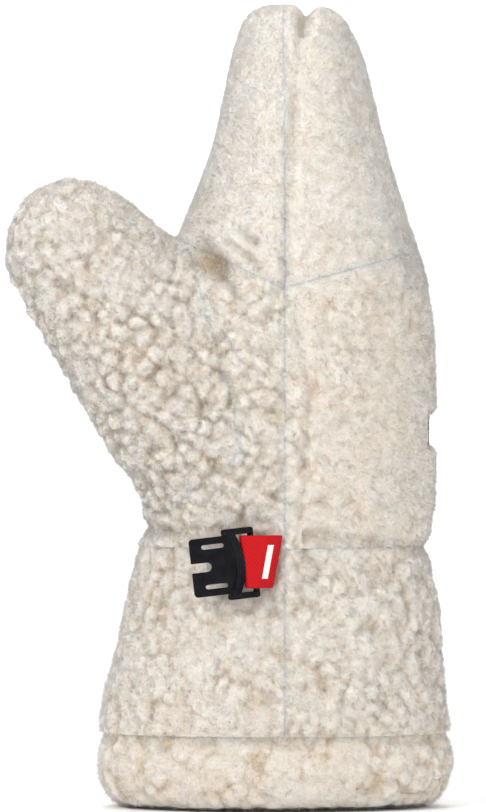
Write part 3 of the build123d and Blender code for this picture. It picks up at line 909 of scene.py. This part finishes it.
def fuzz_piece(name, source, body, length, seed):
    """Thin tapered fibres rooted in the outside of a fleece panel."""
    rng = np.random.default_rng(seed)
    mesh = source.data
    mesh.calc_loop_triangles()
    tris = read(mesh.loop_triangles, "vertices", 3, np.int32)
    slots = read(mesh.polygons, "material_index", 1, np.int32)
    owner = read(mesh.loop_triangles, "polygon_index", 1, np.int32)
    tris = tris[slots[owner] == 0]
    points = read(mesh.vertices, "co", 3) / MM
    normals = read(mesh.vertices, "normal", 3)
    tone = np.empty(len(points))
    mesh.attributes["shade"].data.foreach_get("value", tone)
    a, b, c = (points[tris[:, k]] for k in range(3))
    area = np.linalg.norm(np.cross(b - a, c - a), axis=1)
    count = min(FIBRES, int(area.sum() / 2 * DENSITY))
    pick = rng.choice(len(tris), count, p=area / area.sum())
    r1, r2 = np.sqrt(rng.random(count)), rng.random(count)
    weight = np.stack([1 - r1, r1 * (1 - r2), r1 * r2], axis=1)
    chosen = tris[pick]
    root = (points[chosen] * weight[:, :, None]).sum(1)
    out = (normals[chosen] * weight[:, :, None]).sum(1)
    root_tone = (tone[chosen] * weight).sum(1)
    curl = soft_noise(root, 3.0, 41)
    lie = out * 0.75 + curl * 0.75 + rng.normal(0, 0.35, (count, 3))
    lie /= np.linalg.norm(lie, axis=1)[:, None]
    inward = np.minimum((lie * out).sum(1) - 0.15, 0)
    lie -= inward[:, None] * out
    side = np.cross(lie, rng.normal(size=(count, 3)))
    side /= np.linalg.norm(side, axis=1)[:, None] + 1e-9
    other = np.cross(lie, side)
    reach = length * rng.uniform(0.9, 2.6, count)[:, None]
    half = rng.uniform(0.05, 0.11, count)[:, None]
    base = root - 0.3 * out
    verts = np.empty((count, 4, 3))
    for k in range(3):
        turn = 2 * pi * k / 3
        verts[:, k] = base + half * (cos(turn) * side + sin(turn) * other)
    verts[:, 3] = root + reach * lie
    verts[:, :, 2] = np.maximum(verts[:, :, 2], 0.05)
    index = np.arange(count)[:, None] * 4
    faces = np.concatenate([index + np.array([[0, 1, 3]]), index + np.array([[1, 2, 3]]),
                            index + np.array([[2, 0, 3]]), index + np.array([[2, 1, 0]])])
    mesh = bpy.data.meshes.new(name)
    mesh.vertices.add(count * 4)
    mesh.vertices.foreach_set("co", (verts.reshape(-1) * MM))
    mesh.loops.add(len(faces) * 3)
    mesh.loops.foreach_set("vertex_index", faces.reshape(-1).astype(np.int32))
    mesh.polygons.add(len(faces))
    mesh.polygons.foreach_set("loop_start", np.arange(len(faces), dtype=np.int32) * 3)
    mesh.update(calc_edges=True)
    # Painted shade: each fibre takes the pile's painted shade at its root, and its tip is painted lighter, as
    # lit out of the pile.
    bright = root_tone[:, None] * 0.85 + rng.normal(0.04, 0.12, (count, 1)) + np.array([0, 0, 0, 0.22])
    bright = np.clip(bright, 0, 1)
    mesh.attributes.new("shade", "FLOAT", "POINT").data.foreach_set("value", bright.reshape(-1))
    placed(finished(linked(name, mesh), fleece), body)


for seed, region in enumerate(REGIONS):
    source, length = bpy.data.objects["fleece_" + region], SHORTEST[region.split("_")[0]]
    fuzz_piece("fibres_" + region, source, BODY_OF[region], length, seed)

# -------- patch on the back
patch_low, patch_high = (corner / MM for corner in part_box("back_patch"))
PATCH_INSET = 1.1               # below the fleece's outline, sunk in the pile
PATCH_CORNER = 1.6


def rounded_rectangle(half_y, half_z, corner, count):
    """Points, evenly spaced by angle, round a rectangle with rounded corners."""
    angle = np.linspace(0, 2 * pi, count, endpoint=False)
    c, s = np.cos(angle), np.sin(angle)
    reach = np.minimum(half_y / np.maximum(abs(c), 1e-9), half_z / np.maximum(abs(s), 1e-9))
    y, z = reach * c, reach * s
    core_y, core_z = half_y - corner, half_z - corner
    over = (abs(y) > core_y) & (abs(z) > core_z)
    dy, dz = abs(y) - core_y, abs(z) - core_z
    length = np.where(over, np.hypot(dy, dz), 1)
    y = np.where(over, np.sign(y) * (core_y + dy / length * corner), y)
    z = np.where(over, np.sign(z) * (core_z + dz / length * corner), z)
    return y, z


def back_surface(y, z, inset):
    """X of the back of the hand at an inset below the fleece's outline."""
    middle, a, b = body_radii(z)
    return middle + (a - inset) * (1 - np.clip(abs(y) / (b - inset), 0, 1) ** SQUARENESS) ** (1 / SQUARENESS)


patch_half_y, patch_half_z = (patch_high.y - patch_low.y) / 2, (patch_high.z - patch_low.z) / 2
patch_z = (patch_high.z + patch_low.z) / 2
edge_y, edge_z = rounded_rectangle(patch_half_y, patch_half_z, PATCH_CORNER, 360)
steps = np.concatenate([np.linspace(0, 0.97, 46), [0.99, 1.0, 1.0, 0.99], np.linspace(0.97, 0, 8)])
depth = np.concatenate([np.zeros(46), [0.12, 0.4, 0.8, 1.0], np.full(8, 1.1)])
rows = np.zeros((len(edge_y), len(steps), 3))
for k, (share, down) in enumerate(zip(steps, depth)):
    y, z = edge_y * share, edge_z * share + patch_z
    twill = 0.07 * np.sin(2 * pi * (y + z) / 0.9) if k < 46 else 0
    rows[:, k] = np.stack([back_surface(y, z, PATCH_INSET + down) + twill, y, z], axis=1)
patch = swept("cloth_back_patch", rows, True)
with editing(patch) as bm:
    bmesh.ops.remove_doubles(bm, verts=bm.verts, dist=2e-6)
placed(finished(patch, patch_cloth), "mitten", "back_patch")


def stitch_row(name, path, length, radius, material):
    """Short rounded stitches laid along a closed path of points."""
    bm = bmesh.new()
    hops = np.linalg.norm(np.diff(path, axis=0, append=path[:1]), axis=1)
    along = np.concatenate([[0], np.cumsum(hops)])
    pitch = length * 1.45
    count = int(along[-1] / pitch)
    closed = np.concatenate([path, path[:1]])
    for i in range(count):
        ends = [np.array([np.interp(at, along, closed[:, k]) for k in range(3)])
                for at in ((i * pitch), (i * pitch + length))]
        centre, way = (ends[0] + ends[1]) / 2, Vector(ends[1] - ends[0])
        turn = way.to_track_quat("X", "Z").to_matrix().to_4x4()
        place = Matrix.Translation(Vector(centre) * MM) @ turn
        size = Matrix.Diagonal((length / 2 * MM, radius * MM, radius * MM, 1))
        bmesh.ops.create_icosphere(bm, subdivisions=2, radius=1, matrix=place @ size)
    mesh = bpy.data.meshes.new(name)
    bm.to_mesh(mesh)
    bm.free()
    return finished(linked(name, mesh), material)


sew_y, sew_z = rounded_rectangle(patch_half_y - 1.5, patch_half_z - 1.5, PATCH_CORNER - 0.6, 240)
sew_z = sew_z + patch_z
sew_path = np.stack([back_surface(sew_y, sew_z, PATCH_INSET - 0.08), sew_y, sew_z], axis=1)
placed(stitch_row("patch_stitches", sew_path, 1.6, 0.22, thread), "mitten")

# -------- webbing
WEB_HALF = (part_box("loop_tail")[1].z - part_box("loop_tail")[0].z) / 2 / MM
WEB_THICKNESS = 1.2
BAR_RADIUS, BAR_GAP = 1.3, 0.35
WEB_RADIUS = BAR_RADIUS + BAR_GAP + WEB_THICKNESS / 2
LEAN = -BAR_AXIS[0] / BAR_AXIS[2]
RIB = 1.15                      # from rib to rib of the twill
SEW_DRAW = 3.4                  # how far the sewn end is drawn back into the fleece
SLACK = 1.6                     # between the bar and the end of the loop
TAIL_SUNK = 4.5                 # the tail starts this much deeper, out of sight


def twill(along, across):
    """Height of the diagonal ribs, 0 to 1."""
    phase = (across - 1.2 * along) / (RIB * 1.2)
    rib = (0.5 + 0.5 * np.cos(2 * pi * phase)) ** 0.7
    return rib * (0.84 + 0.16 * np.cos(2 * pi * (1.2 * across + along) / 1.3))


def webbing_strip(name, path_at, count, closed, body, replaced):
    """A woven strip; path_at gives X, Y, the sideways way and the distance along for each height."""
    around = np.linspace(-WEB_HALF, WEB_HALF, 110)
    section = [(v, 1) for v in around] + [(v, -1) for v in around[::-1]]
    rows = np.zeros((count, len(section), 3))
    tone = np.zeros((count, len(section)))
    for k, (v, side) in enumerate(section):
        x, y, way_x, way_y, along = path_at(v)
        rib = twill(along * side, np.full(count, v))
        border = np.clip((WEB_HALF - abs(v)) / 0.9, 0, 1)
        thick = WEB_THICKNESS / 2 * (0.45 + 0.55 * border ** 0.5) + 0.10 * (rib - 0.5)
        z = np.full(count, LOOP[2] + v)
        rows[:, k] = np.stack([x + side * thick * way_x, y + side * thick * way_y, z], axis=1)
        # The stored shade is painted shade, darker between the twill's ribs.
        tone[:, k] = 0.15 + 0.75 * rib
    obj = swept(name, rows, closed)
    obj.data.attributes.new("shade", "FLOAT", "POINT").data.foreach_set("value", tone.reshape(-1))
    placed(finished(obj, webbing), body, replaced)


def sewn_end(v):
    """X where the loop turns into the seam, slanting from the top edge to the bottom."""
    return LOOP[0] - 4.8 + 0.18 * v


def drawn_back(x, v):
    """How far the strip leans into the fleece near its sewn end."""
    return SEW_DRAW * smoothstep(sewn_end(v) - 4, sewn_end(v) + 3, x)


def loop_path(v):
    """Slackly round the hook's leaning bar and back to the seam."""
    far_x = BAR[0] - SLACK + LEAN * -v
    near_x = sewn_end(v)
    run, half_turn = near_x - far_x, pi * WEB_RADIUS
    total = 2 * (run + half_turn)
    s = np.linspace(0, total, 300, endpoint=False)
    front, turn, behind = s < run, s < run + half_turn, s < 2 * run + half_turn
    angle = np.select([front, turn, behind], [0 * s, (s - run) / WEB_RADIUS, 0 * s + pi],
                      (s - 2 * run) / WEB_RADIUS)
    way_x, way_y = -np.sin(angle), -np.cos(angle)
    centre_x = np.select([front, turn, behind], [near_x - s, 0 * s + far_x, far_x + s - run - half_turn],
                         near_x)
    drawn = drawn_back(centre_x + WEB_RADIUS * way_x * 0.5, v)
    return (centre_x + WEB_RADIUS * way_x, LOOP[1] + WEB_RADIUS * way_y + drawn, way_x, way_y,
            np.where(behind, s, s - total))


def tail_path(v):
    """Straight in from the loop through the side seam."""
    low, high = (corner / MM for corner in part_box("loop_tail"))
    y = np.linspace(LOOP[1] + WEB_RADIUS + SEW_DRAW + TAIL_SUNK, high.y, 90)
    return np.full(90, LOOP[0]), y, np.ones(90), np.zeros(90), y - y[0]


webbing_strip("twill_loop", loop_path, 300, True, "loop", "webbing_loop")
webbing_strip("twill_tail", tail_path, 90, False, "mitten", "loop_tail")

# A plain pale tab woven on the front of the loop
TAB_START, TAB_LENGTH, TAB_HALF = 0.0, 2.3, 6.6
rows = []
for along in np.linspace(TAB_START, TAB_START + TAB_LENGTH, 26):
    section = []
    for v, side in ([(v, 1) for v in np.linspace(-TAB_HALF, TAB_HALF, 80)]
                    + [(v, 0) for v in np.linspace(TAB_HALF, -TAB_HALF, 80)]):
        x = sewn_end(v) - along
        thread_relief = 0.05 * np.sin(2 * pi * v / 0.55) * np.sin(2 * pi * along / 0.62)
        proud = WEB_THICKNESS / 2 - 0.1 + side * (0.34 + thread_relief)
        section.append((x, LOOP[1] - WEB_RADIUS - proud + drawn_back(x, v), LOOP[2] + v))
    rows.append(section)
tab = finished(swept("woven_tab", np.array(rows), False), label_cloth)
placed(tab, "loop", "loop_label")

# -------- glove hook
RIB_RADIUS = 0.55
HOOK_X = np.array([BAR_AXIS[2], 0, -BAR_AXIS[0]])
ARCH_OUTER, ARCH_INNER = (-6.6, -3.2), (-10.2, -6.8)     # ends and top of the arch, from the bar
ARCH_HALF, ARCH_FACE = 12.4, 2.2


def hook_point(x, y, out):
    """From the hook's own axes, along it, up the bar and towards the viewer, to the mitten's."""
    return BAR + x * HOOK_X + y * BAR_AXIS + np.array([0, -out, 0])


def arch_rib(share):
    """A bead along the face of the arch."""
    rows = []
    for t in np.linspace(-1, 1, 48):
        ends = ARCH_INNER[0] + share * (ARCH_OUTER[0] - ARCH_INNER[0])
        top = ARCH_INNER[1] + share * (ARCH_OUTER[1] - ARCH_INNER[1])
        x = top + (ends - top) * t * t
        rows.append([hook_point(x + RIB_RADIUS * cos(a), ARCH_HALF * t, ARCH_FACE + RIB_RADIUS * sin(a))
                     for a in np.linspace(0, 2 * pi, 12, endpoint=False)])
    return np.array(rows)


hook = linked("moulded_hook", frame["nodes"]["glove_hook"].data.copy())
with editing(hook) as bm:
    bmesh.ops.remove_doubles(bm, verts=bm.verts, dist=1e-6)
    for share in (0.2, 0.85):
        rib = swept("rib", arch_rib(share), False)
        bm.from_mesh(rib.data)
        bpy.data.objects.remove(rib)
hook.data.materials.clear()
rounding = hook.modifiers.new("rounding", "REMESH")
rounding.mode = "VOXEL"
rounding.voxel_size = 0.17 * MM
hook = applied(hook)
points = read(hook.data.vertices, "co", 3) / MM
edges = read(hook.data.edges, "vertices", 2, np.int64)
points = relax(points, edges, np.ones(len(points)), 7)
hook.data.vertices.foreach_set("co", (points * MM).ravel())
placed(finished(hook, plastic), "hook", "glove_hook")

# -------- backdrop, light and camera
floor_mat, tree, shader = new_material("studio_white", 0.9)
paper = ramp(tree, noise(tree, 40.0, 2.0), (0.3, (0.93, 0.93, 0.93)), (0.7, (0.95, 0.95, 0.95)))
tree.links.new(paper, shader.inputs["Base Color"])
SWEEP = [(-3.0, 0.0), (3.3, 0.0), (3.6, 0.05), (3.8, 0.2), (3.9, 0.45), (3.9, 4.5)]
verts = [(x * 1000, y * 1000, z * 1000) for y, z in SWEEP for x in (-4.0, 4.0)]
faces = [(2 * i, 2 * i + 1, 2 * i + 3, 2 * i + 2) for i in range(len(SWEEP) - 1)]
floor = new_object("studio_floor", verts, faces)
finished(floor, floor_mat)

world = bpy.data.worlds.new("studio")
bpy.context.scene.world = world
world.use_nodes = True
world.node_tree.nodes["Background"].inputs["Color"].default_value = (1.0, 1.0, 1.0, 1)
world.node_tree.nodes["Background"].inputs["Strength"].default_value = 0.53


def lamp(name, place, aim, size, watts, colour=(1, 1, 1)):
    """A square soft light aimed at a point."""
    data = bpy.data.lights.new(name, "AREA")
    data.shape = "SQUARE"
    data.size = size
    data.energy = watts
    data.color = colour
    obj = linked(name, data)
    obj.location = place
    obj.rotation_euler = (Vector(aim) - Vector(place)).to_track_quat("-Z", "Y").to_euler()


middle = Vector((-0.01, 0, 0.16))
lamp("key", (-1.0, -1.5, 1.1), middle, 0.9, 22)
lamp("fill", (1.3, -1.6, 0.4), middle, 1.2, 13)
lamp("top", (-0.1, -0.1, 1.6), middle, 1.0, 7)
lamp("backdrop_left", (-1.7, 2.6, 1.7), (-0.3, 3.8, 0.5), 1.0, 46)
lamp("backdrop_right", (1.7, 2.6, 1.7), (0.3, 3.8, 0.5), 1.0, 46)
lamp("floor_light", (0, 2.0, 1.9), (0, 1.9, 0), 1.2, 22)

camera_data = bpy.data.cameras.new("camera")
camera_data.sensor_fit = "VERTICAL"
DISTANCE, SEEN_HEIGHT = 2.4, 0.3248
camera_data.sensor_height = 24.0
camera_data.lens = 24.0 * DISTANCE / SEEN_HEIGHT
camera = linked("camera", camera_data)
camera.location = (-0.0132, -DISTANCE, 0.160)
camera.rotation_euler = (radians(90), 0, 0)
bpy.context.scene.camera = camera
bpy.context.scene.view_settings.view_transform = "Standard"
